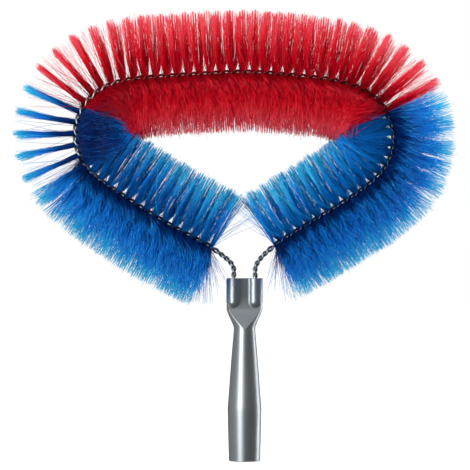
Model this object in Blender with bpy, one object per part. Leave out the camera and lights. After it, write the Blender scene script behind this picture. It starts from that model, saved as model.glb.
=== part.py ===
"""Loop-shaped twisted-wire cleaning brush head with a socket for a telescopic pole.

Two steel wires are twisted round a filling of plastic filaments and bent into a wide loop. Both
ends of the loop go into the two sleeves of a moulded socket, whose tapered bore takes the pole.
The origin is the centre of the bore's floor, where the pole's end rests. +Z runs up the pole's
axis to the brush, and the loop lies in the XZ plane. Units are metres.
"""

import math

import bmesh
import bpy
import numpy as np
from mathutils import Quaternion, Vector

# Pole socket: the bore that takes the pole, and the tube round it
POLE_BORE_DIAMETER = 0.0240
POLE_BORE_TAPER = 0.0012
POLE_BORE_DEPTH = 0.066
MOUTH_WALL = 0.0021
MOUTH_CHAMFER = 0.0006
BELLY_SWELL = 0.0012
BELLY_BELOW_FLOOR = 0.019
CONE_LENGTH = 0.072
NECK_DIAMETER = 0.0190

# Socket head: the shoulder above the neck, and the two sleeves with the web between them
SHOULDER_LENGTH = 0.017
SLEEVE_LENGTH = 0.028
SLEEVE_DIAMETER = 0.0132
SLEEVE_SPACING = 0.0194
SLEEVE_CHAMFER = 0.0004
SLEEVE_DOME = 0.0040
WEB_THICKNESS = 0.0085
WEB_STEP = 0.0003
WIRE_DEPTH = 0.022

# Twisted wire: its steel, its two pitches and the play between neighbours
WIRE_DIAMETER = 0.0022
PITCH_IN_FILLING = 0.0197
PITCH_BARE = 0.0112
PITCH_BLEND = 0.008
PLAY = 0.0003
TWIST_HAND = -1

# Loop: its width and height over the wire, and how much wire is bare at each end
LOOP_WIDTH = 0.287
LOOP_HEIGHT = 0.185
BARE_RISE = 0.009
BARE_LENGTH = 0.036

# Filling: the layer of filaments that the wires pinch, and the tufts of them that stand out of
# it and spread towards their tips. They are trimmed a little shorter towards the right-hand end,
# and inside the loop.
LAYER_WIDTH = 0.0011
LAYER_THICKNESS = 0.0005
TUFT_REACH = 0.0580
TRIM_LOSS = 0.0022
INNER_TRIM_LOSS = 0.0018
TUFT_WIDTH = 0.0010
TUFT_CLEARANCE = 0.0025
TUFTS_PER_TURN = 7
TUFT_TIP_SHARE = 2.0
SHORTEST_TUFT = 0.012

# The filaments have taken a set in packing, which pressed them this way. On the side of the wires
# that faces away from it they gather in one row for each half turn, near the loop's plane, and
# those beyond the row's edge are swept over the wires. Elsewhere they keep nearly their own place.
SET_DIRECTION = (0.50, 0.0, -0.87)
LEAN_SHARE = 0.40
ROW_EDGE = math.radians(48)
FREE_GATHER_SHARE = 0.70
PRESSED_GATHER_SHARE = 0.92
ROW_SPREAD_SHARE = 0.95
LEAST_FALL = math.radians(12)
MOST_FALL = math.radians(60)
KNEE_REACH = 0.0050

# The loop's route from sleeve to sleeve, as shares of its width from the pole's axis and of its
# height above the sleeves
ROUTE_SHARES = (
    (-0.058, 0.098),
    (-0.149, 0.187),
    (-0.293, 0.312),
    (-0.412, 0.433),
    (-0.497, 0.543),
    (-0.529, 0.684),
    (-0.507, 0.827),
    (-0.437, 0.928),
    (-0.309, 0.973),
    (-0.152, 0.990),
    (0.020, 1.000),
    (0.193, 0.978),
    (0.340, 0.936),
    (0.434, 0.834),
    (0.468, 0.682),
    (0.446, 0.549),
    (0.359, 0.419),
    (0.234, 0.295),
    (0.121, 0.187),
    (0.055, 0.105),
)

# Each run of the filling, its colour, the share of the filling where it ends, and its stretches.
# The rows that fan out over the sleeves are runs of their own, at the two ends.
FILLING_SHARES = (
    ("bristles_blue_left_end", "blue", 0.0191, 1),
    ("bristles_blue_left", "blue", 0.290, 4),
    ("bristles_red", "red", 0.735, 6),
    ("bristles_blue_right", "blue", 0.9809, 4),
    ("bristles_blue_right_end", "blue", 1.000, 1),
)

# The belly's curve from the mouth, as shares of its rise and of its swell
BELLY_SHARES = ((0.35, 0.52), (0.70, 0.88), (0.88, 0.98), (1.00, 1.00))
# The cone's soft start below the belly's line, as shares of its length and of its narrowing
CONE_SHARES = ((0.10, 0.06), (0.22, 0.20), (0.90, 0.94), (1.00, 1.00))
# The shoulder, as shares of its length, of its widening and of its flattening
SHOULDER_SHARES = ((0.12, 0.03, 0.06), (0.30, 0.20, 0.28), (0.90, 0.93, 0.94), (1.00, 1.00, 1.00))

SHARP_ANGLE = math.radians(32)
SOCKET_FACETS = 32
SLEEVE_FACETS = 24
WIRE_BORE_FACETS = 16
DOME_STEPS = 4
STATIONS_PER_TURN = 8
ROUTE_SAMPLES = 6000
REACH_SAMPLES = 28
CUT_OVERRUN = 0.002

MOUTH_Z = -POLE_BORE_DEPTH
BELLY_Z = -BELLY_BELOW_FLOOR
NECK_Z = BELLY_Z + CONE_LENGTH
SHOULDER_Z = NECK_Z + SHOULDER_LENGTH
HEAD_TOP_Z = SHOULDER_Z + SLEEVE_LENGTH
BARE_OFFSET = (WIRE_DIAMETER + PLAY) / 2
FILLING_OFFSET = WIRE_DIAMETER / 2 + PLAY + LAYER_THICKNESS / 2
WIRE_BORE_DIAMETER = 2 * BARE_OFFSET + WIRE_DIAMETER + 2 * PLAY


def clear_scene():
    for obj in list(bpy.data.objects):
        bpy.data.objects.remove(obj)


def finish(name, colour, roughness, metallic):
    """A Principled material with a plain colour."""
    material = bpy.data.materials.new(name)
    material.use_nodes = True
    shader = material.node_tree.nodes["Principled BSDF"]
    shader.inputs["Base Color"].default_value = (*colour, 1.0)
    shader.inputs["Roughness"].default_value = roughness
    shader.inputs["Metallic"].default_value = metallic
    return material


def add_object(name, data, material=None):
    obj = bpy.data.objects.new(name, data)
    bpy.context.scene.collection.objects.link(obj)
    if material:
        data.materials.append(material)
    return obj


def mesh_from(bm, name):
    mesh = bpy.data.meshes.new(name)
    bm.to_mesh(mesh)
    bm.free()
    return mesh


def as_tool(obj):
    """Marks an object as a shape that only cuts or joins."""
    obj.hide_render = True
    obj.display_type = "WIRE"
    return obj


def turned(name, profile, facets, axis_x=0.0):
    """A solid turned about a vertical axis from (radius, height) points."""
    bm = bmesh.new()
    points = [bm.verts.new((radius, 0, height)) for radius, height in profile]
    edges = [bm.edges.new(pair) for pair in zip(points, points[1:])]
    bmesh.ops.spin(
        bm,
        geom=points + edges,
        cent=(0, 0, 0),
        axis=(0, 0, 1),
        angle=2 * math.pi,
        steps=facets,
        use_merge=True,
    )
    bmesh.ops.remove_doubles(bm, verts=bm.verts, dist=PLAY / 100)
    bmesh.ops.recalc_face_normals(bm, faces=bm.faces)
    obj = add_object(name, mesh_from(bm, name))
    obj.location.x = axis_x
    obj.rotation_euler.z = math.pi / facets
    return as_tool(obj)


def join_or_cut(obj, tool, operation):
    modifier = obj.modifiers.new(tool.name, "BOOLEAN")
    modifier.operation = operation
    modifier.object = tool


def settle(obj):
    """Keeps the mesh that the modifiers make, without them or their tools, and shades it."""
    depsgraph = bpy.context.evaluated_depsgraph_get()
    mesh = bpy.data.meshes.new_from_object(obj.evaluated_get(depsgraph))
    tools = [modifier.object for modifier in obj.modifiers]
    obj.modifiers.clear()
    obj.data = mesh
    mesh.shade_smooth()
    mesh.set_sharp_from_angle(angle=SHARP_ANGLE)
    for tool in tools:
        bpy.data.objects.remove(tool)


def socket_section(half_width, half_depth):
    """A circle, or two half circles with flats between them where the width is larger."""
    step = 2 * math.pi / SOCKET_FACETS
    for k in range(SOCKET_FACETS):
        angle = (k + 0.5) * step
        shift = math.copysign(half_width - half_depth, math.cos(angle))
        yield shift + half_depth * math.cos(angle), half_depth * math.sin(angle)


def socket_heights():
    """The socket's outer sections from its mouth up, as (height, half width, half depth)."""
    mouth = POLE_BORE_DIAMETER / 2 + MOUTH_WALL
    belly = mouth + BELLY_SWELL
    neck = NECK_DIAMETER / 2
    wide = (SLEEVE_SPACING + SLEEVE_DIAMETER - PLAY) / 2
    web = WEB_THICKNESS / 2
    yield MOUTH_Z, mouth - MOUTH_CHAMFER, mouth - MOUTH_CHAMFER
    yield MOUTH_Z + MOUTH_CHAMFER, mouth, mouth
    for rise, swell in BELLY_SHARES:
        radius = mouth + BELLY_SWELL * swell
        yield MOUTH_Z + MOUTH_CHAMFER + (BELLY_Z - MOUTH_Z - MOUTH_CHAMFER) * rise, radius, radius
    for rise, narrowing in CONE_SHARES:
        radius = belly + (neck - belly) * narrowing
        yield BELLY_Z + CONE_LENGTH * rise, radius, radius
    for rise, widening, flattening in SHOULDER_SHARES:
        half_width = neck + (wide - neck) * widening
        yield NECK_Z + SHOULDER_LENGTH * rise, half_width, neck + (web - neck) * flattening
    inside_sleeves = (SLEEVE_SPACING + WEB_THICKNESS) / 2
    yield SHOULDER_Z + SLEEVE_DOME, wide, web
    yield SHOULDER_Z + SLEEVE_DOME + WEB_STEP, inside_sleeves, web
    yield HEAD_TOP_Z - WEB_STEP, inside_sleeves, web


def sleeve_profile():
    """A sleeve's outline: domed below, chamfered at its top."""
    radius = SLEEVE_DIAMETER / 2
    for k in range(DOME_STEPS + 1):
        angle = math.pi / 2 * k / DOME_STEPS
        yield radius * math.sin(angle), SHOULDER_Z + SLEEVE_DOME * (1 - math.cos(angle))
    yield radius, HEAD_TOP_Z - SLEEVE_CHAMFER
    yield radius - SLEEVE_CHAMFER, HEAD_TOP_Z
    yield 0, HEAD_TOP_Z


def make_socket(plastic):
    """The lofted tube and head, with its sleeves joined on and its three bores cut."""
    bm = bmesh.new()
    loops = []
    for height, half_width, half_depth in socket_heights():
        ring = [bm.verts.new((x, y, height)) for x, y in socket_section(half_width, half_depth)]
        loops.append([bm.edges.new((ring[k - 1], ring[k])) for k in range(len(ring))])
    for lower, upper in zip(loops, loops[1:]):
        bmesh.ops.bridge_loops(bm, edges=lower + upper)
    bmesh.ops.holes_fill(bm, edges=loops[0] + loops[-1], sides=SOCKET_FACETS)
    bmesh.ops.recalc_face_normals(bm, faces=bm.faces)
    socket = add_object("socket", mesh_from(bm, "socket"), plastic)

    for side, label in ((-1, "left"), (1, "right")):
        axis_x = side * SLEEVE_SPACING / 2
        sleeve = turned(f"sleeve_{label}", list(sleeve_profile()), SLEEVE_FACETS, axis_x)
        join_or_cut(socket, sleeve, "UNION")
    for side, label in ((-1, "left"), (1, "right")):
        radius = WIRE_BORE_DIAMETER / 2
        floor = HEAD_TOP_Z - WIRE_DEPTH - WIRE_DIAMETER / 2
        top = HEAD_TOP_Z + CUT_OVERRUN
        profile = [(0, floor), (radius, floor), (radius, top), (0, top)]
        bore = turned(f"wire_bore_{label}", profile, WIRE_BORE_FACETS, side * SLEEVE_SPACING / 2)
        join_or_cut(socket, bore, "DIFFERENCE")

    mouth = POLE_BORE_DIAMETER / 2
    floor = (POLE_BORE_DIAMETER - POLE_BORE_TAPER) / 2
    profile = [
        (0, 0),
        (floor, 0),
        (mouth, MOUTH_Z + MOUTH_CHAMFER),
        (mouth + MOUTH_CHAMFER, MOUTH_Z),
        (mouth + MOUTH_CHAMFER, MOUTH_Z - CUT_OVERRUN),
        (0, MOUTH_Z - CUT_OVERRUN),
    ]
    join_or_cut(socket, turned("pole_bore", profile, SOCKET_FACETS), "DIFFERENCE")
    settle(socket)


class Route:
    """The twisted wire's centre line: straight in each sleeve, and one smooth curve between."""

    def __init__(self):
        side = SLEEVE_SPACING / 2
        middle = [(x * LOOP_WIDTH, HEAD_TOP_Z + z * LOOP_HEIGHT) for x, z in ROUTE_SHARES]
        rise = HEAD_TOP_Z + BARE_RISE
        knots = np.array([(-side, HEAD_TOP_Z), (-side, rise), *middle, (side, rise), (side, HEAD_TOP_Z)])
        curve = self.spline(knots, start=(0, 1), end=(0, -1))
        foot = HEAD_TOP_Z - WIRE_DEPTH
        self.points = np.vstack([(-side, foot), curve, (side, foot)])
        steps = np.linalg.norm(np.diff(self.points, axis=0), axis=1)
        self.lengths = np.concatenate([[0], np.cumsum(steps)])
        self.length = self.lengths[-1]
        self.ways = np.gradient(self.points, self.lengths, axis=0)
        self.filling_start = WIRE_DEPTH + BARE_LENGTH
        self.filling_end = self.length - self.filling_start
        self.turns = np.concatenate([[0], np.cumsum(steps / self.pitch(self.lengths[1:]))])

    @staticmethod
    def spline(knots, start, end):
        """Points on the cubic spline through the knots that leaves and arrives as told."""
        steps = np.linalg.norm(np.diff(knots, axis=0), axis=1)
        places = np.concatenate([[0], np.cumsum(steps)])
        slopes = np.diff(knots, axis=0) / steps[:, None]
        count = len(knots)
        system, right = np.zeros((count, count)), np.zeros((count, 2))
        system[0, :2] = 2 * steps[0], steps[0]
        right[0] = 6 * (slopes[0] - np.array(start))
        system[-1, -2:] = steps[-1], 2 * steps[-1]
        right[-1] = 6 * (np.array(end) - slopes[-1])
        for i in range(1, count - 1):
            system[i, i - 1 : i + 2] = steps[i - 1], 2 * (steps[i - 1] + steps[i]), steps[i]
            right[i] = 6 * (slopes[i] - slopes[i - 1])
        bends = np.linalg.solve(system, right)
        at = np.linspace(0, places[-1], ROUTE_SAMPLES)
        span = np.clip(np.searchsorted(places, at, side="right") - 1, 0, count - 2)
        step, along = steps[span][:, None], (at - places[span])[:, None]
        left = step - along
        curved = (bends[span] * left**3 + bends[span + 1] * along**3) / (6 * step)
        first = (knots[span] / step - bends[span] * step / 6) * left
        second = (knots[span + 1] / step - bends[span + 1] * step / 6) * along
        return curved + first + second

    def in_filling(self, length):
        """0 on the bare wire and 1 in the filling, with an even change between."""
        from_start = (length - self.filling_start) / PITCH_BLEND + 1
        from_end = (self.filling_end - length) / PITCH_BLEND + 1
        return np.clip(np.minimum(from_start, from_end), 0, 1)

    def pitch(self, length):
        return PITCH_BARE + (PITCH_IN_FILLING - PITCH_BARE) * self.in_filling(length)

    def length_at_turn(self, turn):
        return float(np.interp(turn, self.turns, self.lengths))

    def turn_at(self, length):
        return float(np.interp(length, self.lengths, self.turns))

    def way(self, length):
        """The way the wire runs at this length of it."""
        way_x, way_z = (np.interp(length, self.lengths, self.ways[:, k]) for k in (0, 1))
        return Vector((way_x, 0, way_z)).normalized()

    def frame(self, length):
        """The centre at this length of wire, and the ways of the layer's width and thickness."""
        x, z = (np.interp(length, self.lengths, self.points[:, k]) for k in (0, 1))
        along = self.way(length)
        across = Vector((along.z, 0, -along.x))
        through = Vector((0, 1, 0))
        angle = TWIST_HAND * 2 * math.pi * self.turn_at(length)
        width = across * math.cos(angle) + through * math.sin(angle)
        thickness = through * math.cos(angle) - across * math.sin(angle)
        return Vector((x, 0, z)), width, thickness


def make_wire(name, route, side, steel):
    """One steel wire, wound round the loop's centre line on its own side of the filling."""
    curve = bpy.data.curves.new(name, "CURVE")
    curve.dimensions = "3D"
    curve.bevel_depth = WIRE_DIAMETER / 2
    curve.bevel_resolution = 1
    curve.use_fill_caps = True
    count = int(route.turns[-1] * STATIONS_PER_TURN)
    spline = curve.splines.new("POLY")
    spline.points.add(count)
    for k in range(count + 1):
        length = route.length_at_turn(route.turns[-1] * k / count)
        centre, _, thickness = route.frame(length)
        offset = BARE_OFFSET + (FILLING_OFFSET - BARE_OFFSET) * route.in_filling(length)
        spline.points[k].co = (*(centre + thickness * offset * side), 1)
    return add_object(name, curve, steel)


def settled(route, length, leaving):
    """The way a tuft's tip points from the wires' centre, and whether it is swept over them."""
    along = route.way(length)
    inward = Vector((along.z, 0, -along.x))
    side = inward * math.copysign(1, leaving.dot(inward))
    through = Vector((0, math.copysign(1, leaving.y), 0))
    half_turns = 2 * route.turn_at(length)
    from_row = half_turns - round(half_turns)
    angle = abs(from_row) * math.pi
    pressed = Vector(SET_DIRECTION)
    free = side.dot(pressed) < 0
    swept = free and angle > ROW_EDGE
    tilt = 0.0
    if swept:
        beyond = (angle - ROW_EDGE) / (math.pi / 2 - ROW_EDGE)
        fall = LEAST_FALL + (MOST_FALL - LEAST_FALL) * beyond
        across, depth = -math.sin(fall), math.cos(fall)
    elif free:
        across, depth = math.cos(angle * FREE_GATHER_SHARE), math.sin(angle * FREE_GATHER_SHARE)
        tilt = ROW_SPREAD_SHARE * from_row * PITCH_IN_FILLING / 2 / TUFT_REACH
    else:
        across, depth = math.cos(angle * PRESSED_GATHER_SHARE), math.sin(angle * PRESSED_GATHER_SHARE)
    tilt += along.dot(pressed) * LEAN_SHARE * depth
    return (side * across + through * depth + along * tilt).normalized(), swept


def trimmed(route, length, final):
    """How far from the wires' centre a tuft's tip lies."""
    along = route.way(length)
    share = (length - route.filling_start) / (route.filling_end - route.filling_start)
    inner = final.dot(Vector((along.z, 0, -along.x))) > 0
    return TUFT_REACH - TRIM_LOSS * share - (INNER_TRIM_LOSS if inner else 0.0)


class Tuft:
    """A tuft's line from its root: straight, or with a knee where it is swept over the wires."""

    def __init__(self, route, length, side):
        centre, width, _ = route.frame(length)
        leaving = width * side
        final, self.swept = settled(route, length, leaving)
        self.root = centre + leaving * LAYER_WIDTH / 2
        self.tip = centre + final * trimmed(route, length, final)
        self.knee = self.root + leaving * KNEE_REACH if self.swept else self.root
        self.way = (self.tip - self.knee).normalized()
        self.bend = leaving.rotation_difference(self.way) if self.swept else Quaternion()
        self.reach = (self.tip - self.knee).length

    def measure(self, placed):
        """Ends the tuft where it would come too near to another one."""
        to_knee = (self.knee - self.root).length
        if self.swept and placed.clear_reach(self.root, self.knee) < to_knee:
            self.reach = 0
        else:
            self.reach = placed.clear_reach(self.knee, self.tip)

    def sections(self):
        """Each section's middle, its turn from the one before and its growth on it."""
        end = self.knee + self.way * self.reach
        if not self.swept:
            return [(end, Quaternion(), TUFT_TIP_SHARE)]
        half = Quaternion().slerp(self.bend, 1 / 2)
        growth = 1 + (TUFT_TIP_SHARE - 1) * KNEE_REACH / TUFT_REACH
        return [(self.knee, half, growth), (end, half, TUFT_TIP_SHARE / growth)]


class Tufts:
    """The tufts placed so far, as straight lines, so that no new one crosses them."""

    def __init__(self):
        self.roots, self.tips = [], []
        self.least = math.inf
        self.count = 0

    def clear_reach(self, root, tip):
        """How far a tuft can go towards its tip before it comes too near to another."""
        reach = (tip - root).length
        way = (tip - root).normalized()
        if not self.roots:
            return reach
        roots, spans = np.array(self.roots), np.array(self.tips) - np.array(self.roots)
        squares = (spans**2).sum(1)
        places = np.linspace(0, reach, REACH_SAMPLES)
        samples = np.array(root) + places[:, None] * np.array(way)
        offsets = samples[:, None] - roots
        shares = np.clip((offsets * spans).sum(2) / squares, 0, 1)
        gaps = np.linalg.norm(offsets - shares[:, :, None] * spans, axis=2).min(1)
        near = np.flatnonzero(gaps < TUFT_CLEARANCE)
        last = near[0] - 1 if len(near) else REACH_SAMPLES - 1
        if last > 0:
            self.least = min(self.least, gaps[: last + 1].min())
        return places[last] if last > 0 else 0

    def add(self, tuft):
        self.count += 1
        points = [tuft.root] + [place for place, _, _ in tuft.sections()]
        for root, tip in zip(points, points[1:]):
            self.roots.append(tuple(root))
            self.tips.append(tuple(tip))


def layer_corners(bm, route, length):
    """The pinched layer's four corners at this length of wire."""
    centre, width, thickness = route.frame(length)
    wide, thick = width * LAYER_WIDTH / 2, thickness * LAYER_THICKNESS / 2
    places = (centre + wide + thick, centre - wide + thick, centre - wide - thick, centre + wide - thick)
    return [bm.verts.new(place) for place in places]


def make_stretch(name, route, first, last, placed, colour):
    """A stretch of the filling: the pinched layer from one turn to another, and its tufts."""
    start, end = route.length_at_turn(first) + PLAY / 2, route.length_at_turn(last) - PLAY / 2
    count = max(1, round((last - first) * TUFTS_PER_TURN))
    spacing = (end - start) / count
    bm = bmesh.new()
    rings, pairs = [layer_corners(bm, route, start)], []
    for k in range(count):
        middle = start + spacing * (k + 0.5)
        near = layer_corners(bm, route, middle - TUFT_WIDTH / 2)
        far = layer_corners(bm, route, middle + TUFT_WIDTH / 2)
        rings += [near, far]
        pair = []
        for side, edge in ((1, (0, 3)), (-1, (1, 2))):
            feet = {ring[k] for ring in (near, far) for k in edge}
            pair.append((Tuft(route, middle, side), feet))
        pairs.append(pair)
    rings.append(layer_corners(bm, route, end))
    for near, far in zip(rings, rings[1:]):
        for k in range(4):
            bm.faces.new((near[k - 1], near[k], far[k], far[k - 1]))
    bm.faces.new(rings[0][::-1])
    bm.faces.new(rings[-1])
    bmesh.ops.recalc_face_normals(bm, faces=bm.faces)
    for pair in pairs:
        for tuft, _ in pair:
            tuft.measure(placed)
        for tuft, feet in pair:
            if tuft.reach < SHORTEST_TUFT:
                continue
            placed.add(tuft)
            face = next(f for f in next(iter(feet)).link_faces if set(f.verts) == feet)
            for place, turn, growth in tuft.sections():
                face = bmesh.ops.extrude_discrete_faces(bm, faces=[face])["faces"][0]
                foot = face.calc_center_median()
                for vert in face.verts:
                    vert.co = place + turn @ (vert.co - foot) * growth
    return add_object(name, mesh_from(bm, name), colour)


def make_filling(route, finishes):
    """The runs of the filling, each in stretches of like length."""
    first = route.turn_at(route.filling_start)
    turns = route.turn_at(route.filling_end) - first
    placed = Tufts()
    begin = 0.0
    for name, colour, end_share, stretches in FILLING_SHARES:
        for k in range(stretches):
            shares = [begin + (end_share - begin) * (k + edge) / stretches for edge in (0, 1)]
            bounds = [first + turns * share for share in shares]
            label = f"{name}_{k + 1}" if stretches > 1 else name
            make_stretch(label, route, *bounds, placed, finishes[colour])
        begin = end_share
    print(f"{placed.count} tufts, least gap {placed.least * 1000:.2f} mm centre to centre")


def main():
    clear_scene()
    plastic = finish("grey_plastic", (0.27, 0.30, 0.32), 0.32, 0.55)
    steel = finish("galvanised_steel", (0.42, 0.45, 0.47), 0.30, 0.9)
    finishes = {
        "blue": finish("blue_filament", (0.01, 0.16, 0.62), 0.42, 0.0),
        "red": finish("red_filament", (0.62, 0.005, 0.03), 0.42, 0.0),
    }
    make_socket(plastic)
    route = Route()
    make_wire("wire_strand_a", route, 1, steel)
    make_wire("wire_strand_b", route, -1, steel)
    make_filling(route, finishes)
    print(f"wire loop {route.length:.3f} m long, {route.turns[-1]:.1f} turns")


main()
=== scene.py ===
"""Loop brush head with a pole socket: the finished look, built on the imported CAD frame."""

import math

import bpy
import numpy as np
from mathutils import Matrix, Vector


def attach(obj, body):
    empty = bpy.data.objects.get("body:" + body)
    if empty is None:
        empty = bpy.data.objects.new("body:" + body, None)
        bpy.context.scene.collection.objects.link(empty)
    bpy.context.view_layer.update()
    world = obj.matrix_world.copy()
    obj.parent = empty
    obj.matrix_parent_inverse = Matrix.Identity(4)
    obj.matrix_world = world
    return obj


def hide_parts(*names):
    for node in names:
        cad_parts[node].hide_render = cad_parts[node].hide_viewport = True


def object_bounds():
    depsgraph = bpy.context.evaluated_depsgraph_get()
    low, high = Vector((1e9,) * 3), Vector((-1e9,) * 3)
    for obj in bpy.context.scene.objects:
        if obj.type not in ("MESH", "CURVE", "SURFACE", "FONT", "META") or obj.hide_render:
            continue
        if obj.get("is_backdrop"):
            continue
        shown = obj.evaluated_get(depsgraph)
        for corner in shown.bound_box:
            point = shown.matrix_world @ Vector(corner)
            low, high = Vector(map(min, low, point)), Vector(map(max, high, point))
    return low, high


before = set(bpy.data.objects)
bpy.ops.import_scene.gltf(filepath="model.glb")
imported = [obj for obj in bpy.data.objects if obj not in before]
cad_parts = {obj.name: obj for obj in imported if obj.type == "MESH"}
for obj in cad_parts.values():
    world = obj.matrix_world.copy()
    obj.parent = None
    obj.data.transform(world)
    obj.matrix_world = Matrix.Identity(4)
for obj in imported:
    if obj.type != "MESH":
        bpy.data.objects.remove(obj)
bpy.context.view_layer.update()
bpy.ops.object.select_all(action="DESELECT")


# Socket. One moulding in satin silver-grey plastic: a tapering tube with a bore for the pole, a
# shoulder with a flat on each face, and two round sleeves on a thin web, which hold the wire ends.
# It comes out of a two-part mould with a core pin in each bore, so its edges are slightly rounded.
BORE_MOUTH_RADIUS = 0.0120
BORE_FLOOR_RADIUS = 0.0114
MOUTH_Z = -0.066
MOUTH_RADIUS = 0.0141
BELLY_RADIUS = 0.0153
BELLY_Z = -0.019
BELLY_FULLNESS = 0.25
CONE_HOLLOW = 0.05
NECK_Z = 0.053
NECK_RADIUS = 0.0095
SHOULDER_Z = 0.070
SHOULDER_EASE = 0.35
HEAD_TOP_Z = 0.098
HEAD_HALF_WIDTH = 0.01615
WEB_HALF_DEPTH = 0.00425
SLEEVE_RADIUS = 0.0066
SLEEVE_X = 0.0097
SLEEVE_DOME = 0.0072
WIRE_BORE_RADIUS = 0.00265
WIRE_BORE_DEPTH = 0.0231
RIM_CHAMFER = 0.0005
SOCKET_FILLET = 0.0007
SOCKET_EDGE = math.radians(24)
SOCKET_FACETS = 160
BORE_FACETS = 96
WIRE_BORE_FACETS = 48
TUBE_RINGS = 72
SHOULDER_RINGS = 60
HEAD_RINGS = 16
CUT_OVERRUN = 0.002

GREY_DARK = (0.380, 0.420, 0.445, 1)
GREY_PALE = (0.440, 0.480, 0.505, 1)
# Painted shade for the recess of the web between the sleeves: its colour, its strength, and the
# heights and widths over which it fades in.
WEB_SHADOW_GREY = (0.10, 0.12, 0.13, 1)
WEB_SHADE = 0.65
WEB_SHADE_Z = (0.070, 0.082)
WEB_SHADE_X = (0.0050, 0.0030)


def eased(value, low, high):
    """0 below low, 1 above high, and a smooth rise between."""
    share = np.clip((value - low) / (high - low), 0, 1)
    return share * share * (3 - 2 * share)


def tube_radius(height):
    """The tube's outer radius: a slight belly, then a nearly straight cone up to the neck."""
    rise = np.clip((height - MOUTH_Z) / (BELLY_Z - MOUTH_Z), 0, 1)
    swell = (1 + BELLY_FULLNESS) * rise - BELLY_FULLNESS * rise * rise
    belly = MOUTH_RADIUS + (BELLY_RADIUS - MOUTH_RADIUS) * swell
    narrowing = np.clip((height - BELLY_Z) / (NECK_Z - BELLY_Z), 0, 1)
    narrowing = narrowing * (1 - CONE_HOLLOW * np.sin(narrowing * math.pi))
    return belly + (NECK_RADIUS - BELLY_RADIUS) * narrowing


def socket_outline(height, turn):
    """The point of the socket's outline at this height, in the direction of this angle from +X."""
    radius = tube_radius(height)
    straight = np.clip((height - NECK_Z) / (SHOULDER_Z - NECK_Z), 0, 1)
    spread = SHOULDER_EASE * eased(height, NECK_Z, SHOULDER_Z) + (1 - SHOULDER_EASE) * straight
    wide = radius + (HEAD_HALF_WIDTH - radius) * spread
    flat = radius + (WEB_HALF_DEPTH - radius) * spread
    lift = np.clip((SHOULDER_Z + SLEEVE_DOME - height) / SLEEVE_DOME, 0, 1)
    sleeve = SLEEVE_RADIUS * np.sqrt(1 - lift * lift)
    half_width = max(wide, SLEEVE_X + sleeve)
    x = half_width * np.cos(turn)
    body = np.minimum(radius * np.sqrt(np.clip(1 - (x / wide) ** 2, 0, 1)), flat)
    bulge = np.sqrt(np.clip(sleeve**2 - (np.abs(x) - SLEEVE_X) ** 2, 0, None))
    ease = SOCKET_FILLET * np.clip((half_width - np.abs(x)) / SLEEVE_RADIUS, 0, 1)
    ease = ease * (bulge > 0) * eased(height, SHOULDER_Z, SHOULDER_Z + SLEEVE_DOME)
    depth = (body + bulge + np.sqrt((body - bulge) ** 2 + ease**2)) / 2
    return x, depth * np.sign(np.sin(turn))


heights = [MOUTH_Z, MOUTH_Z + RIM_CHAMFER / 3, MOUTH_Z + RIM_CHAMFER]
heights += list(np.linspace(MOUTH_Z + RIM_CHAMFER, NECK_Z, TUBE_RINGS)[1:])
heights += list(np.linspace(NECK_Z, SHOULDER_Z + SLEEVE_DOME, SHOULDER_RINGS)[1:])
heights += list(np.linspace(SHOULDER_Z + SLEEVE_DOME, HEAD_TOP_Z - RIM_CHAMFER, HEAD_RINGS)[1:])
heights += [HEAD_TOP_Z - RIM_CHAMFER / 3, HEAD_TOP_Z]
bpy.ops.mesh.primitive_circle_add(
    vertices=SOCKET_FACETS, radius=MOUTH_RADIUS, fill_type="NGON", location=(0, 0, MOUTH_Z)
)
socket = bpy.context.object
socket.name = "socket_moulding"
bpy.ops.object.transform_apply(location=True, rotation=True, scale=True)
bpy.ops.object.mode_set(mode="EDIT")
for low, high in zip(heights, heights[1:]):
    bpy.ops.mesh.extrude_region_move(TRANSFORM_OT_translate={"value": (0, 0, high - low)})
bpy.ops.mesh.select_all(action="SELECT")
bpy.ops.mesh.normals_make_consistent(inside=False)
bpy.ops.object.mode_set(mode="OBJECT")
for vert in socket.data.vertices:
    height = vert.co.z
    turn = math.atan2(vert.co.y, vert.co.x)
    x, y = socket_outline(height, turn)
    inset = 0.0
    for rim in (MOUTH_Z, HEAD_TOP_Z):
        near = 1 - min(abs(height - rim) / RIM_CHAMFER, 1)
        inset = max(inset, RIM_CHAMFER * near * near)
    away = Vector((x, y)).normalized() * inset
    vert.co = (x - away.x, y - away.y, height)


def cut_with(piece, tool):
    """Cuts the tool's shape out of the piece, and removes the tool."""
    cut = piece.modifiers.new("cut", "BOOLEAN")
    cut.operation = "DIFFERENCE"
    cut.solver = "MANIFOLD"
    cut.object = tool
    bpy.context.view_layer.objects.active = piece
    bpy.ops.object.modifier_apply(modifier=cut.name)
    bpy.data.objects.remove(tool)


bore_depth = -MOUTH_Z + CUT_OVERRUN
bore_taper = (BORE_MOUTH_RADIUS - BORE_FLOOR_RADIUS) / -MOUTH_Z
bpy.ops.mesh.primitive_cone_add(
    vertices=BORE_FACETS,
    radius1=BORE_MOUTH_RADIUS + bore_taper * CUT_OVERRUN,
    radius2=BORE_FLOOR_RADIUS,
    depth=bore_depth,
    location=(0, 0, -bore_depth / 2),
)
cut_with(socket, bpy.context.object)
bpy.ops.mesh.primitive_cone_add(
    vertices=BORE_FACETS,
    radius1=BORE_MOUTH_RADIUS + RIM_CHAMFER,
    radius2=BORE_MOUTH_RADIUS - RIM_CHAMFER,
    depth=RIM_CHAMFER * 2,
    location=(0, 0, MOUTH_Z),
)
cut_with(socket, bpy.context.object)
for side in (-1, 1):
    bpy.ops.mesh.primitive_cylinder_add(
        vertices=WIRE_BORE_FACETS,
        radius=WIRE_BORE_RADIUS,
        depth=WIRE_BORE_DEPTH + CUT_OVERRUN,
        location=(side * SLEEVE_X, 0, HEAD_TOP_Z + (CUT_OVERRUN - WIRE_BORE_DEPTH) / 2),
    )
    cut_with(socket, bpy.context.object)
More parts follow.
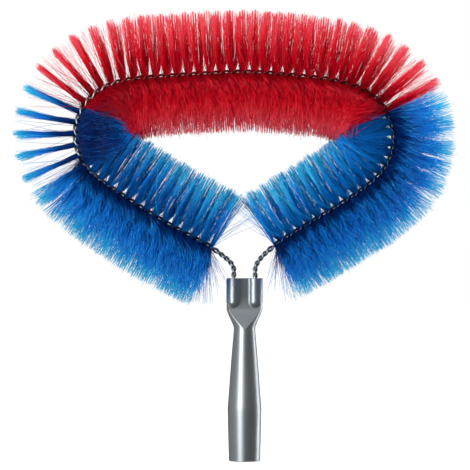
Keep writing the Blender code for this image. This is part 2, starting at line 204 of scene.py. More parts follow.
bpy.ops.object.select_all(action="DESELECT")
socket.select_set(True)
bpy.context.view_layer.objects.active = socket
bpy.ops.object.shade_smooth_by_angle(angle=SOCKET_EDGE)


class Signal:
    """A value, colour or vector on its way through a material's nodes."""

    def __init__(self, tree, socket=None):
        self.tree = tree
        self.socket = socket

    def node(self, kind, settings, inputs, output=0):
        """Adds a node: its settings first, then the values or links of its sockets."""
        added = self.tree.nodes.new(kind)
        for name, value in settings.items():
            if name == "stops":
                ramp = added.color_ramp.elements
                while len(ramp) < len(value):
                    ramp.new(1.0)
                for stop, (place, colour) in zip(ramp, value):
                    stop.position = place
                    stop.color = (*colour, 1.0)
            else:
                setattr(added, name, value)
        for name, value in inputs.items():
            if isinstance(value, Signal):
                self.tree.links.new(value.socket, added.inputs[name])
            else:
                added.inputs[name].default_value = value
        return Signal(self.tree, added.outputs[output])

    def sum_of(self, operation, first, second):
        """The Math node that the operators below stand for."""
        return self.node("ShaderNodeMath", {"operation": operation}, {0: first, 1: second})

    def __add__(self, other):
        return self.sum_of("ADD", self, other)

    def __radd__(self, other):
        return self.sum_of("ADD", other, self)

    def __sub__(self, other):
        return self.sum_of("SUBTRACT", self, other)

    def __rsub__(self, other):
        return self.sum_of("SUBTRACT", other, self)

    def __mul__(self, other):
        return self.sum_of("MULTIPLY", self, other)

    def __rmul__(self, other):
        return self.sum_of("MULTIPLY", other, self)

    def __abs__(self):
        return self.sum_of("ABSOLUTE", self, 0.0)

    def risen(self, low, high):
        """0 where the value is at low or past it, 1 at high, and an even change between."""
        inputs = {"Value": self, "From Min": low, "From Max": high}
        return self.node("ShaderNodeMapRange", {}, inputs)

    def coordinate(self, axis, space="Object"):
        """One coordinate of the place that is being coloured."""
        place = self.node("ShaderNodeTexCoord", {}, {}, space)
        return self.node("ShaderNodeSeparateXYZ", {}, {"Vector": place}, axis)

    def attribute(self, name):
        """The value that the mesh carries under this name."""
        return self.node("ShaderNodeAttribute", {"attribute_name": name}, {}, "Fac")

    def noise(self, scale, detail):
        """Even grey noise in the piece's own coordinates."""
        place = self.node("ShaderNodeTexCoord", {}, {}, "Object")
        inputs = {"Vector": place, "Scale": scale, "Detail": detail}
        return self.node("ShaderNodeTexNoise", {}, inputs, "Fac")

    def mixed(self, share, first, second):
        """One colour turned into another."""
        settings = {"data_type": "RGBA", "clamp_factor": True}
        inputs = {0: share, 6: first, 7: second}
        return self.node("ShaderNodeMix", settings, inputs, 2)


def new_material(name):
    """A material with one Principled shader, and a signal to build its pattern with."""
    material = bpy.data.materials.new(name)
    material.use_nodes = True
    shader = material.node_tree.nodes["Principled BSDF"]
    return material, shader, Signal(material.node_tree)


def drive(shader, name, signal):
    """Lets a signal set one of the shader's values."""
    shader.id_data.links.new(signal.socket, shader.inputs[name])


def dress(piece, material, slot, *nodes):
    """Gives a piece its material and its place on the frame, and hides the CAD nodes that it stands
    for.
    """
    piece.data.materials.clear()
    piece.data.materials.append(material)
    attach(piece, "root")
    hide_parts(*nodes)


plastic, shader, grey = new_material("satin_grey_plastic")
flow = grey.noise(35.0, 3.0)
grain = grey.noise(2600.0, 2.0)
tint = grey.mixed(flow, GREY_DARK, GREY_PALE)
# Painted shade: the recess of the web between the sleeves, above the shoulder, is darkened where the
# sleeves keep the light off.
above_shoulder = grey.coordinate("Z").risen(*WEB_SHADE_Z)
between_sleeves = abs(grey.coordinate("X")).risen(*WEB_SHADE_X)
tint = grey.mixed(WEB_SHADE * above_shoulder * between_sleeves, tint, WEB_SHADOW_GREY)
drive(shader, "Base Color", tint)
drive(shader, "Roughness", 0.36 + 0.08 * flow)
relief = {"Strength": 0.12, "Distance": 0.0001, "Height": grain}
drive(shader, "Normal", grey.node("ShaderNodeBump", {}, relief, "Normal"))
shader.inputs["Metallic"].default_value = 0.95
dress(socket, plastic, "socket_plastic", "socket")


# Wire. Two drawn and galvanised steel strands, wound round each other and bent into one loop.
# They pinch the filling between them, and their bare ends are twisted tighter and go down the
# sleeves. The route and the two pitches are those of the CAD solids.
WIRE_RADIUS = 0.0011
WIRE_DEPTH = 0.022
LOOP_WIDTH = 0.287
LOOP_HEIGHT = 0.185
BARE_RISE = 0.009
BARE_LENGTH = 0.036
PITCH_IN_FILLING = 0.0197
PITCH_BARE = 0.0112
PITCH_BLEND = 0.008
BARE_OFFSET = 0.00125
FILLING_OFFSET = 0.00165
ROUTE_POINTS = 6000
STATIONS_PER_TURN = 20
STRAND_FACETS = 10
STRAND_EDGE = math.radians(50)
THROUGH = np.array([0.0, 1.0, 0.0])
ROUTE_SHARES = (
    (-0.058, 0.098), (-0.149, 0.187), (-0.293, 0.312), (-0.412, 0.433), (-0.497, 0.543),
    (-0.529, 0.684), (-0.507, 0.827), (-0.437, 0.928), (-0.309, 0.973), (-0.152, 0.990),
    (0.020, 1.000), (0.193, 0.978), (0.340, 0.936), (0.434, 0.834), (0.468, 0.682),
    (0.446, 0.549), (0.359, 0.419), (0.234, 0.295), (0.121, 0.187), (0.055, 0.105),
)

STEEL_DARK = (0.42, 0.47, 0.48, 1)
STEEL_PALE = (0.68, 0.73, 0.74, 1)
# Painted shade in the hollow where the two strands turn towards each other.
GROOVE_SHADE_GREY = (0.010, 0.014, 0.016, 1)
GROOVE_SHARES = (0.55, 0.92)
# Painted reflections of the blue and red filaments, in their shade, on the strands among them, and
# where these start.
PAINTED_BLUE_REFLECTION = (0.010, 0.050, 0.200, 1)
PAINTED_RED_REFLECTION = (0.300, 0.008, 0.015, 1)
FILLING_FROM_Z = (0.120, 0.128)
RED_FROM_Z = (0.243, 0.253)
LEFT_BEND_X = (-0.135, -0.110)


def spline_through(knots, start, end, count):
    """Points on the cubic spline through the knots that leaves and arrives as told."""
    steps = np.linalg.norm(np.diff(knots, axis=0), axis=1)
    places = np.concatenate([[0], np.cumsum(steps)])
    slopes = np.diff(knots, axis=0) / steps[:, None]
    size = len(knots)
    system, right = np.zeros((size, size)), np.zeros((size, 2))
    system[0, :2] = 2 * steps[0], steps[0]
    right[0] = 6 * (slopes[0] - np.array(start))
    system[-1, -2:] = steps[-1], 2 * steps[-1]
    right[-1] = 6 * (np.array(end) - slopes[-1])
    for i in range(1, size - 1):
        system[i, i - 1 : i + 2] = steps[i - 1], 2 * (steps[i - 1] + steps[i]), steps[i]
        right[i] = 6 * (slopes[i] - slopes[i - 1])
    bends = np.linalg.solve(system, right)
    at = np.linspace(0, places[-1], count)
    span = np.clip(np.searchsorted(places, at, side="right") - 1, 0, size - 2)
    step, along = steps[span][:, None], (at - places[span])[:, None]
    left = step - along
    curved = (bends[span] * left**3 + bends[span + 1] * along**3) / (6 * step)
    first = (knots[span] / step - bends[span] * step / 6) * left
    second = (knots[span + 1] / step - bends[span + 1] * step / 6) * along
    return curved + first + second


knots = [(-SLEEVE_X, HEAD_TOP_Z), (-SLEEVE_X, HEAD_TOP_Z + BARE_RISE)]
knots += [(x * LOOP_WIDTH, HEAD_TOP_Z + z * LOOP_HEIGHT) for x, z in ROUTE_SHARES]
knots += [(SLEEVE_X, HEAD_TOP_Z + BARE_RISE), (SLEEVE_X, HEAD_TOP_Z)]
foot_z = HEAD_TOP_Z - WIRE_DEPTH
route = spline_through(np.array(knots), (0, 1), (0, -1), ROUTE_POINTS)
route = np.vstack([(-SLEEVE_X, foot_z), route, (SLEEVE_X, foot_z)])
route_steps = np.linalg.norm(np.diff(route, axis=0), axis=1)
route_lengths = np.concatenate([[0], np.cumsum(route_steps)])
route_ways = np.gradient(route, route_lengths, axis=0)
filling_start = WIRE_DEPTH + BARE_LENGTH
filling_end = route_lengths[-1] - filling_start


def in_filling(length):
    """0 on the bare wire and 1 in the filling, with an even change between."""
    from_start = (length - filling_start) / PITCH_BLEND + 1
    from_end = (filling_end - length) / PITCH_BLEND + 1
    return np.clip(np.minimum(from_start, from_end), 0, 1)


pitches = PITCH_BARE + (PITCH_IN_FILLING - PITCH_BARE) * in_filling(route_lengths[1:])
route_turns = np.concatenate([[0], np.cumsum(route_steps / pitches)])


def twist_at(turns):
    """Length, centre, way, inward side, and the way from strand to strand, at these turns."""
    lengths = np.interp(turns, route_turns, route_lengths)
    x, z = (np.interp(lengths, route_lengths, route[:, k]) for k in (0, 1))
    way_x, way_z = (np.interp(lengths, route_lengths, route_ways[:, k]) for k in (0, 1))
    size = np.hypot(way_x, way_z)
    flat = np.zeros_like(x)
    centre = np.stack([x, flat, z], 1)
    way = np.stack([way_x / size, flat, way_z / size], 1)
    inward = np.stack([way_z / size, flat, -way_x / size], 1)
    angle = (-2 * math.pi * turns)[:, None]
    apart = THROUGH * np.cos(angle) - inward * np.sin(angle)
    return lengths, centre, way, inward, apart


# Painted reflection and shade: among the filaments the strands are coloured a dark blue or red, for
# the filaments that they mirror and the shade that they lie in, but little of it where the rows fan
# out at the left bend.
steel, shader, bright = new_material("galvanised_steel")
drawn = bright.noise(900.0, 3.0)
spangle = bright.noise(160.0, 2.0)
height = bright.coordinate("Z")
clean = bright.mixed(spangle, STEEL_DARK, STEEL_PALE)
# Painted shade on the faces of the strands that turn towards each other.
clean = bright.mixed(bright.attribute("groove"), clean, GROOVE_SHADE_GREY)
painted_reflection = bright.mixed(height.risen(*RED_FROM_Z), PAINTED_BLUE_REFLECTION, PAINTED_RED_REFLECTION)
covered = 0.10 + 0.85 * bright.coordinate("X").risen(*LEFT_BEND_X)
covered = height.risen(*FILLING_FROM_Z) * covered
drive(shader, "Base Color", bright.mixed(covered, clean, painted_reflection))
drive(shader, "Roughness", 0.26 + 0.20 * drawn)
shader.inputs["Metallic"].default_value = 1.0
count = int(route_turns[-1] * STATIONS_PER_TURN)
stations = np.linspace(0, route_turns[-1], count + 1)
lengths, centre, _, _, apart = twist_at(stations)
offset = BARE_OFFSET + (FILLING_OFFSET - BARE_OFFSET) * in_filling(lengths)
for side, name in ((1, "a"), (-1, "b")):
    bpy.ops.curve.primitive_nurbs_path_add()
    strand = bpy.context.object
    strand.name = f"strand_{name}"
    strand.location = (0, 0, 0)
    strand.data.splines.clear()
    line = strand.data.splines.new("POLY")
    line.points.add(count)
    places = centre + apart * offset[:, None] * side
    line.points.foreach_set("co", np.column_stack([places, np.ones(count + 1)]).ravel())
    strand.data.bevel_depth = WIRE_RADIUS
    strand.data.bevel_resolution = STRAND_FACETS // 2 - 2
    strand.data.use_fill_caps = True
    bpy.ops.object.convert(target="MESH")
    strand = bpy.context.object
    points = np.array([vert.co for vert in strand.data.vertices])
    # Painted shade on the faces of each strand that turn towards the other one.
    ring = np.minimum(np.arange(len(points)) // STRAND_FACETS, count)
    outward = np.linalg.norm(points - centre[ring], axis=1) / (offset + WIRE_RADIUS)[ring]
    groove = strand.data.attributes.new("groove", "FLOAT", "POINT")
    groove.data.foreach_set("value", (1 - eased(outward, *GROOVE_SHARES)).astype(np.float32))
    bpy.ops.object.shade_smooth_by_angle(angle=STRAND_EDGE)
    dress(strand, steel, "wire_steel", f"wire_strand_{name}")


# Filling. Soft plastic filaments, cut to one length and pinched at their middle by the wires, so
# that they stand out as a double screw. Packing has given them a set: on the side away from it
# they gather in one row for each half turn, and the rest are swept over to the other side.
FILAMENT_RADIUS = 0.00019
TIP_RADIUS = 0.00012
FILAMENT_CUTS = (0.22, 0.5)
FILAMENTS_PER_TURN = 1500
SET_WAY = np.array([0.50, 0.0, -0.87])
FREE_SIDE = (-0.06, 0.10)

# Name and colour of each part of the filling, where it ends as a share of the whole, and in how
# many stretches it is made.
FILLING = (
    ("blue_left_end", "blue", 0.0191, 1),
    ("blue_left", "blue", 0.290, 4),
    ("red", "red", 0.735, 6),
    ("blue_right", "blue", 0.9809, 4),
    ("blue_right_end", "blue", 1.000, 1),
)

# Places along the loop, counted in turns of the twist from the left foot of the wire.
CHANGE_LEFT = 14.70
CHANGE_RIGHT = 29.58
FAN_TURNS = (9.6, 11.5, 12.5, 15.3, 16.6, 19.0, 25.8, 27.4, 29.3, 30.6)
FAN_SHARES = (0.0, 0.6, 1.0, 0.95, 0.5, 0.0, 0.0, 0.25, 0.55, 0.0)
RIGHT_HALF = (20, 25)
RIGHT_BEND = (26, 28)
CORNER_TURNS = 2.2
SHADE_TURNS = 2.4
SHADE_SHIFT = 1.6
END_TURNS = 1.2
END_POWER = 1.5

# Clumps of neighbours in a row, which share a tilt, a roll, a trim and a tone.
CLUMPS_PER_ROW = 12
CLUMP_SEED = 41
CLUMP_TILT = 0.045
CLUMP_ROLL = 0.05
CLUMP_PULL = 0.30
JUST_UNDER_ONE = 0.9999

# Rows, and the filaments that are swept out of them. Angles are in radians round the wire.
ROW_EDGE = math.radians(43)
ROW_EDGE_SCATTER = 0.06
SWEPT_SHARE = 0.95
STAY_AT_RIGHT_BEND = 0.08
STAY_IN_RED_FAN = 0.07
STAY_IN_BLUE_FAN = -0.045
LOOSE_SHARE = 0.02
LOOSE_ROLL = 0.6
LOOSE_TILT = 0.22
GATHER = 0.84
GATHER_FREE = 0.14
GATHER_FAN = 0.25
EVEN_ANGLES = (0.75, 1.3)
ROLL_SCATTER = 0.05
FALL_DEGREES = (12, 56)

# Tilts along the wire, as shares of the reach, and widths of a row, as shares of its spacing.
SOONER_ON_RIGHT = 0.9
CROSSING = 0.05
CROSSING_EVEN = 0.15
CROSSING_RIGHT = 0.12
SPREAD_AT_WIRES = 1.05
LEAN = 0.28
LEAN_FREE = 0.20
TILT_SCATTER = 0.024
TILT_SCATTER_EVEN = 0.016
TILT_LOST = 0.75
TILT_LOST_FREE = 0.60
FREE_ROW = 2.15
FAN_ROW = 2.5
DENSE_ROW = 0.9
SWEPT_ROW = 0.85
CORNER_ROW = 0.5
SLOT_MIDDLE = 0.375
SLOT_HALF = 0.125
RED_CORNER_TILT = (0.14, -0.24)
BLUE_CORNER_TILT = (0.06, -0.14)
BEHIND_DEPTH = 0.85

# Shades: 0 is the deepest colour of a filament, in painted shade, and 1 the palest, in painted
# light.
ROOT_SHADE = -0.46
ROOT_SHADE_FREE = 0.74
TIP_SHADE = 0.52
TIP_SHADE_ACROSS = 0.48
TIP_SHADE_EDGE = 0.65
RED_CORNER_SHADE = 0.60
LEFT_CORNER_SHADE = 0.72
RIGHT_CORNER_SHADE = 0.52
TONE_SCATTER = 0.25
# A few filaments are paler all over: painted sheen.
SHEEN_SHARE = 0.08
PAINTED_SHEEN = 1.4

# Locks of tips, the fans at the two ends, the trim, and the bend that each filament takes.
LOCK_SPACING = 0.0024
LOCK_LAYERS = 2.49
LOCK_SHIFT = 4
LOCK_PULL = 0.15
LOCK_PULL_MORE = 0.50
LOCK_LOST_IN_FRONT = 0.7
OUTER_END = 0.16
OUTER_END_STRAY = 0.45
OUTER_STRAY_SHARE = 0.25
INNER_END = 0.06
INNER_END_STRAY = 0.8
INNER_STRAY_SHARE = 0.05
REACH = 0.0585
TRIM_LOSS = 0.0022
INNER_TRIM_LOSS = 0.0018
CLUMP_TRIM = 0.035
TRIM_SCATTER = 0.036
LONG_SHARE = 0.05
LONG_BY = 0.06
BEND_AT = 0.24
BEND_AT_SWEPT = 0.12
BEND_LENGTH = 0.16
BEND_SCATTER = 0.006
ROOT_GAP = 0.0003
OVER_WIRES = 0.9
OVER_BACK = 0.25
COVER = 0.35
COVER_STRAY = 1.6
COVER_STRAY_SHARE = 0.20

bpy.ops.mesh.primitive_cone_add(
    vertices=3, radius1=FILAMENT_RADIUS, radius2=TIP_RADIUS, depth=1, location=(0, 0, 0.5)
)
filament = bpy.context.object
bpy.ops.object.transform_apply(location=True, rotation=True, scale=True)
for cut in FILAMENT_CUTS:
    bpy.ops.object.mode_set(mode="EDIT")
    bpy.ops.mesh.select_all(action="SELECT")
    bpy.ops.mesh.bisect(plane_co=(0, 0, cut), plane_no=(0, 0, 1))
    bpy.ops.object.mode_set(mode="OBJECT")
shape = np.array([vert.co for vert in filament.data.vertices])
shape_loops = np.array([loop.vertex_index for loop in filament.data.loops])
shape_starts = np.array([face.loop_start for face in filament.data.polygons])
bpy.data.objects.remove(filament)


def unit(vectors):
    """The same ways, each one long."""
    return vectors / np.linalg.norm(vectors, axis=1)[:, None]


def bell(distance, width):
    """1 at no distance, and less on both sides of it."""
    return np.exp(-((distance / width) ** 2))


def lay_filaments(turns, side, chance, clumps):
    """Root, bend, tip, tone and shades of each filament that leaves the wires at these turns."""
    count = len(turns)
    lengths, centre, way, inward, _ = twist_at(turns)

    # Each half turn is one row, in which a filament has its place, from -0.5 to 0.5, and its clump.
    row = np.round(2 * turns)
    share = 2 * turns - row
    angle = share * math.pi
    outward = inward * side[:, None]
    natural = outward * np.cos(angle)[:, None] - THROUGH * (side * np.sin(angle))[:, None]
    upper = eased(-(outward @ SET_WAY), *FREE_SIDE)
    fan = np.interp(turns, FAN_TURNS, FAN_SHARES) * (side < 0)
    free = upper * (1 - fan)
    part = (share + 0.5) * CLUMPS_PER_ROW * JUST_UNDER_ONE
    number = (row * 2 + (side > 0)) * CLUMPS_PER_ROW + np.floor(part)
    off_middle = (part - np.floor(part) - 0.5) / CLUMPS_PER_ROW
    tilt, roll, trim, tone = clumps[number.astype(int) % len(clumps)].T

    # Filaments between two rows are swept over the wires, or stay there as a few loose hairs.
    red = (turns > CHANGE_LEFT) & (turns < CHANGE_RIGHT)
    outside = np.abs(angle) > ROW_EDGE + chance.normal(0, ROW_EDGE_SCATTER, count)
    stay = STAY_AT_RIGHT_BEND * red * eased(turns, *RIGHT_BEND)
    stay = stay + fan * np.where(red, STAY_IN_RED_FAN, STAY_IN_BLUE_FAN)
    swept = outside & (chance.random(count) < upper * (SWEPT_SHARE - stay))
    loose = (outside & ~swept & (upper > 0.5)) | (chance.random(count) < LOOSE_SHARE)
    gather = GATHER - GATHER_FREE * upper - GATHER_FAN * fan
    even = np.where(swept, 1.0, (1 - upper) * eased(np.abs(angle), *EVEN_ANGLES))
    rolled = angle * gather * np.where(loose, LOOSE_ROLL, 1.0)
    rolled = rolled + roll + chance.normal(0, ROLL_SCATTER, count)
    across = np.cos(rolled)
    depth = -side * np.sin(rolled)
    fall = np.radians(chance.uniform(*FALL_DEGREES, count))
    across = np.where(swept, -np.sin(fall), across)
    depth = np.where(swept, -side * np.sign(angle) * np.cos(fall), depth)

    # Filaments at the two ends, and in the two corners inside the loop, aren't pushed along.
    from_end = np.minimum(turns - first_turn, last_turn - turns)
    fanned = np.clip(1 - from_end / END_TURNS, 0, 1) ** END_POWER
    inside = (side > 0) != swept
    inner_left = inside * bell(turns - CHANGE_LEFT, CORNER_TURNS)
    inner_right = inside * bell(turns - CHANGE_RIGHT, CORNER_TURNS)
    corner = np.maximum(inner_left, inner_right)
    ends = np.maximum(corner, fanned)

    # The rows on the free side spread close to the wires and meet again, sooner on the right half.
    # In the fans, outside the two bends, they close up instead.
    half_row = PITCH_IN_FILLING / 2 / REACH
    sooner = 1 + SOONER_ON_RIGHT * eased(turns, *RIGHT_HALF)
    crossing = CROSSING + CROSSING_EVEN * even + CROSSING_RIGHT * free * (sooner - 1)
    spread = SPREAD_AT_WIRES * sooner * free * share + chance.normal(0, 1, count) * crossing
    lean = (way @ SET_WAY) * np.abs(depth) * (LEAN - LEAN_FREE * free * ~swept) * (1 - ends)
    loosely = chance.normal(0, 1, count) * (TILT_SCATTER + TILT_SCATTER_EVEN * even)
    tilt = tilt * (1 - TILT_LOST * even - TILT_LOST * fan) * (1 - TILT_LOST_FREE * upper) + loosely
    from_slot = np.sign(share) * (np.abs(share) - SLOT_MIDDLE) / SLOT_HALF
    rows = FREE_ROW * free * share - FAN_ROW * fan * share
    rows = rows + DENSE_ROW * (1 - upper) * chance.uniform(-1, 1, count) * np.cos(angle)
    rows = np.where(swept, SWEPT_ROW * from_slot * (1 - CORNER_ROW * corner), rows)
    tilt = tilt + lean + half_row * (rows - CLUMP_PULL * off_middle)

    # Painted shade and light: the colour is deep where shade falls near the wires and in the
    # corners, and palest at the tips that point along the loop's own plane.
    at_root = ROOT_SHADE_FREE * free * ~swept + ROOT_SHADE
    shade_left = inside * ~red * bell(turns - CHANGE_LEFT + SHADE_SHIFT, SHADE_TURNS)
    shade_right = inside * ~red * bell(turns - CHANGE_RIGHT - SHADE_SHIFT, SHADE_TURNS)
    at_tip = TIP_SHADE + TIP_SHADE_ACROSS * eased(1 - np.abs(depth), 0.0, TIP_SHADE_EDGE)
    at_tip = at_tip - RED_CORNER_SHADE * inner_left * red
    at_tip = at_tip - LEFT_CORNER_SHADE * shade_left - RIGHT_CORNER_SHADE * shade_right

    # In the left corner inside the loop the blue ones lie in front, in the right one the red ones.
    behind = np.where(red, inner_left, inner_right) ** 2
    depth = np.where(depth < 0, depth * (1 - BEHIND_DEPTH * behind), depth)
    red_tilt = RED_CORNER_TILT[0] * inner_left + RED_CORNER_TILT[1] * inner_right
    blue_tilt = BLUE_CORNER_TILT[0] * inner_left + BLUE_CORNER_TILT[1] * inner_right
    tilt = tilt + np.where(red, red_tilt, blue_tilt)

    # Towards their tips neighbours cling together in locks, with gaps between them. The locks lie
    # in five layers from front to back.
    place = (lengths + tilt * REACH) / LOCK_SPACING
    lock = np.floor(place) * 10 + np.floor((depth + 1) * LOCK_LAYERS) * 2 + inside
    offset, _, cling, _ = clumps[lock.astype(int) % len(clumps)].T
    middle_of_lock = np.floor(place) + 0.5 + LOCK_SHIFT * offset
    pulled = (middle_of_lock - place) * LOCK_SPACING / REACH
    pulled = pulled * (LOCK_PULL + LOCK_PULL_MORE * cling) * (1 - LOCK_LOST_IN_FRONT * np.abs(depth))
    tilt = tilt + pulled
    tilt = np.where(loose, tilt + chance.normal(0, LOOSE_TILT, count), tilt)

    # The outermost rows fan out over the bare wire.
    toward = np.where(turns < (first_turn + last_turn) / 2, -1.0, 1.0)
    stray = chance.random(count)
    outer_wild = OUTER_END + OUTER_END_STRAY * (stray < OUTER_STRAY_SHARE)
    inner_wild = INNER_END + INNER_END_STRAY * (stray < INNER_STRAY_SHARE)
    wild = np.where(side < 0, outer_wild, inner_wild)
    tilt = tilt + toward * fanned * chance.uniform(0.0, 1.0, count) * wild

    # The trim is shorter towards the right and inside the loop, and a few filaments stand proud.
    final = unit(outward * across[:, None] + THROUGH * depth[:, None] + way * tilt[:, None])
    inner = np.sum(final * inward, 1) > 0
    reach = REACH - TRIM_LOSS * (turns - first_turn) / (last_turn - first_turn)
    reach = reach - INNER_TRIM_LOSS * inner
    ragged = np.abs(chance.normal(0, TRIM_SCATTER, count)) * (1 + 2 * fan)
    reach = reach * (1 - trim * CLUMP_TRIM - ragged)
    reach = reach * (1 + LONG_BY * chance.random(count) * (chance.random(count) < LONG_SHARE))

    # Each one leaves the wires in its own way, the swept ones over the wires, and then bends.
    rise = np.where(swept, BEND_AT_SWEPT, BEND_AT) * reach
    leaving = unit(natural + way * (tilt * 0.5 + spread)[:, None])
    over = THROUGH * depth[:, None] * OVER_WIRES - outward * OVER_BACK
    strays = chance.random(count) < COVER_STRAY_SHARE
    far = chance.uniform(-COVER_STRAY, COVER_STRAY, count)
    cover = np.where(strays, far, chance.normal(0, COVER, count))
    leaving = np.where(swept[:, None], unit(over + way * (tilt * 0.5 + cover)[:, None]), leaving)
    root = centre + natural * ROOT_GAP
    wander = chance.normal(0, BEND_SCATTER, (count, 3)) * reach[:, None]
    middle = root + leaving * rise[:, None] + final * (BEND_LENGTH * reach)[:, None] + wander
    tip = centre + final * reach[:, None]
    return root, middle, tip, tone, at_root, at_tip


def bundle(name, turns, side, chance, clumps):
    """One mesh of filaments, each the modelled one bent along its own line."""
    root, middle, tip, tone, at_root, at_tip = lay_filaments(turns, side, chance, clumps)
    count = len(root)
    along = shape[:, 2][None, :, None]
    line = root[:, None] * (1 - along) ** 2 + middle[:, None] * 2 * along * (1 - along)
    line = line + tip[:, None] * along**2
    straight = unit(tip - root)
    aslant = np.array([0.31, 0.17, 0.93])
    first = unit(np.cross(straight, aslant))
    second = np.cross(straight, first)
    wall = shape[:, 0][None, :, None] * first[:, None]
    line = line + wall + shape[:, 1][None, :, None] * second[:, None]
    mesh = bpy.data.meshes.new(name)
    mesh.vertices.add(count * len(shape))
    mesh.vertices.foreach_set("co", line.ravel())
    starts = np.arange(count)
    loops = (shape_loops[None] + starts[:, None] * len(shape)).ravel()
    mesh.loops.add(len(loops))
    mesh.loops.foreach_set("vertex_index", loops)
    mesh.polygons.add(count * len(shape_starts))
    faces = (shape_starts[None] + starts[:, None] * len(shape_loops)).ravel()
    mesh.polygons.foreach_set("loop_start", faces)
    mesh.update(calc_edges=True)
    mesh.validate()
    mesh.shade_smooth()
    # Painted shade and light along each filament, from its root to its tip.
    shades = mesh.attributes.new("along", "FLOAT", "POINT")
    painted_shading = at_root[:, None] + shape[:, 2][None] * (at_tip - at_root)[:, None]
    shades.data.foreach_set("value", painted_shading.ravel().astype(np.float32))
    tones = mesh.attributes.new("tone", "FLOAT", "POINT")
    lone = np.clip(tone + chance.normal(0, TONE_SCATTER, count), 0, 1)
    # A few filaments get a painted sheen on top of their tone.
    lone = lone + PAINTED_SHEEN * (chance.random(count) < SHEEN_SHARE)
    tones.data.foreach_set("value", np.repeat(lone, len(shape)).astype(np.float32))
    piece = bpy.data.objects.new(name, mesh)
    bpy.context.scene.collection.objects.link(piece)
    return piece


def filament_material(name, deep, plain, pale):
    """Filament plastic, with painted shade deep at the wires and painted light paler towards the
    tips that light passes through.
    """
    material, shader, colour = new_material(name)
    tone = colour.attribute("tone")
    paleness = colour.attribute("along") + 0.32 * (tone - 0.5)
    stops = ((0.08, deep), (0.42, plain), (0.62, plain), (1.0, pale))
    ramp = colour.node("ShaderNodeValToRGB", {"stops": stops}, {"Fac": paleness})
    drive(shader, "Base Color", ramp)
    drive(shader, "Roughness", 0.30 + 0.10 * tone)
    shader.inputs["Specular IOR Level"].default_value = 0.24
    return material


finishes = {
    "blue": filament_material(
        "blue_filament", (0.0, 0.030, 0.20), (0.0, 0.22, 0.76), (0.03, 0.56, 0.92)
    ),
    "red": filament_material(
        "red_filament", (0.45, 0.0, 0.010), (0.84, 0.0, 0.020), (0.95, 0.08, 0.12)
    ),
}
first_turn = float(np.interp(filling_start, route_lengths, route_turns))
last_turn = float(np.interp(filling_end, route_lengths, route_turns))
clump_count = 2 * (int(2 * route_turns[-1]) + 2) * CLUMPS_PER_ROW
clump_chance = np.random.default_rng(CLUMP_SEED)
clumps = np.column_stack([
    clump_chance.normal(0, CLUMP_TILT, clump_count),
    clump_chance.normal(0, CLUMP_ROLL, clump_count),
    clump_chance.random(clump_count),
    clump_chance.random(clump_count),
])
begin = 0.0
for number, (name, colour, end_share, stretches) in enumerate(FILLING):
    for k in range(stretches):
        shares = [begin + (end_share - begin) * (k + edge) / stretches for edge in (0, 1)]
        low, high = (first_turn + (last_turn - first_turn) * share for share in shares)
        label = f"{name}_{k + 1}" if stretches > 1 else name
        chance = np.random.default_rng(100 * number + k)
        count = int((high - low) * FILAMENTS_PER_TURN)
        turns = chance.uniform(low, high, count)
        side = np.where(chance.random(count) < 0.5, -1.0, 1.0)
        piece = bundle(f"filaments_{label}", turns, side, chance, clumps)
        dress(piece, finishes[colour], f"{colour}_bristle", f"bristles_{label}")
    begin = end_share


# Studio. A white floor and background, a large soft lamp to the left of the camera, a softer one
# to the right, one above, and a tall one behind to the right that draws the socket's bright edge.
CAMERA_PLACE = (-0.00855, -2.57, 0.1369)
LENS = 219
FLOOR_SIDE = 12.0
FLOOR_GAP = 0.0002
PAPER_WHITE = (0.86, 0.86, 0.86, 1)
PAPER_GLOW = 0.80
SKY_LIGHT = 0.42
LAMP_TARGET = Vector((0, 0, 0.13))

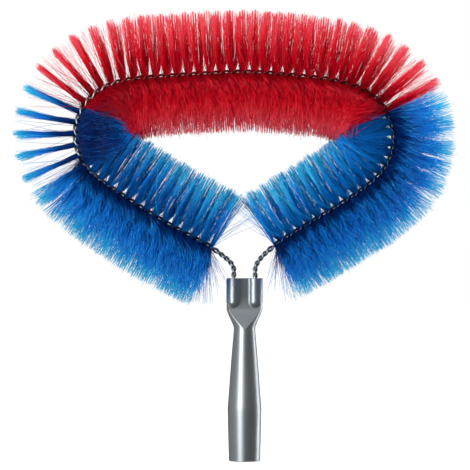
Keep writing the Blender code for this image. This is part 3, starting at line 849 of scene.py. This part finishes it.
# Name, place, width, height and power of each lamp.
LAMPS = (
    ("key", (-0.88, -1.44, 0.42), 0.75, 1.5, 21.5),
    ("fill", (1.25, -1.20, 0.30), 0.9, 0.9, 10.5),
    ("top", (0.0, -0.20, 1.60), 1.2, 0.8, 9.0),
    ("edge", (1.28, 0.55, 0.10), 0.4, 1.4, 8.0),
)
bpy.ops.mesh.primitive_plane_add(size=FLOOR_SIDE, location=(0, 0, MOUTH_Z - FLOOR_GAP))
floor = bpy.context.object
floor.name = "floor"
bpy.ops.object.transform_apply(location=True, rotation=True, scale=True)
paper, shader, white = new_material("white_paper")
shader.inputs["Base Color"].default_value = PAPER_WHITE
shader.inputs["Roughness"].default_value = 0.9
shader.inputs["Specular IOR Level"].default_value = 0.1
seen = white.node("ShaderNodeLightPath", {}, {}, "Is Camera Ray")
glow = {"Color": (1, 1, 1, 1), "Strength": PAPER_GLOW * seen}
glow = white.node("ShaderNodeEmission", {}, glow)
lit = white.node("ShaderNodeAddShader", {}, {0: Signal(white.tree, shader.outputs[0]), 1: glow})
out = white.tree.nodes["Material Output"]
white.tree.links.new(lit.socket, out.inputs["Surface"])
floor.data.materials.append(paper)
floor.visible_glossy = False
floor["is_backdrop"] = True

# The camera sees a white sky. The socket and the wires mirror a darker one, which is brighter on
# the left and behind.
world = bpy.data.worlds.new("studio")
bpy.context.scene.world = world
world.use_nodes = True
sky = Signal(world.node_tree)
seen = sky.node("ShaderNodeLightPath", {}, {}, "Is Camera Ray")
mirrored = sky.node("ShaderNodeLightPath", {}, {}, "Is Glossy Ray")
behind = sky.coordinate("Y", "Generated").risen(0.86, 0.95)
left = sky.coordinate("X", "Generated").risen(-0.4, -0.8)
strength = SKY_LIGHT + mirrored * (0.20 * behind + 0.24 * left - 0.33)
strength = strength + seen * (1.0 - strength)
back = world.node_tree.nodes["Background"]
back.inputs["Color"].default_value = (1, 1, 1, 1)
world.node_tree.links.new(strength.socket, back.inputs["Strength"])

for name, place, wide, tall, power in LAMPS:
    bpy.ops.object.light_add(type="AREA", location=place)
    lamp = bpy.context.object
    lamp.name = f"lamp_{name}"
    lamp.data.shape = "RECTANGLE"
    lamp.data.size = wide
    lamp.data.size_y = tall
    lamp.data.energy = power
    lamp.visible_glossy = name != "fill"
    lamp.rotation_euler = (LAMP_TARGET - lamp.location).to_track_quat("-Z", "Y").to_euler()

bpy.ops.object.camera_add(location=CAMERA_PLACE, rotation=(math.pi / 2, 0, 0))
camera = bpy.context.object
camera.data.lens = LENS
camera.data.clip_end = 50
bpy.context.scene.camera = camera
bpy.context.scene.view_settings.view_transform = "Standard"

low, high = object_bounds()
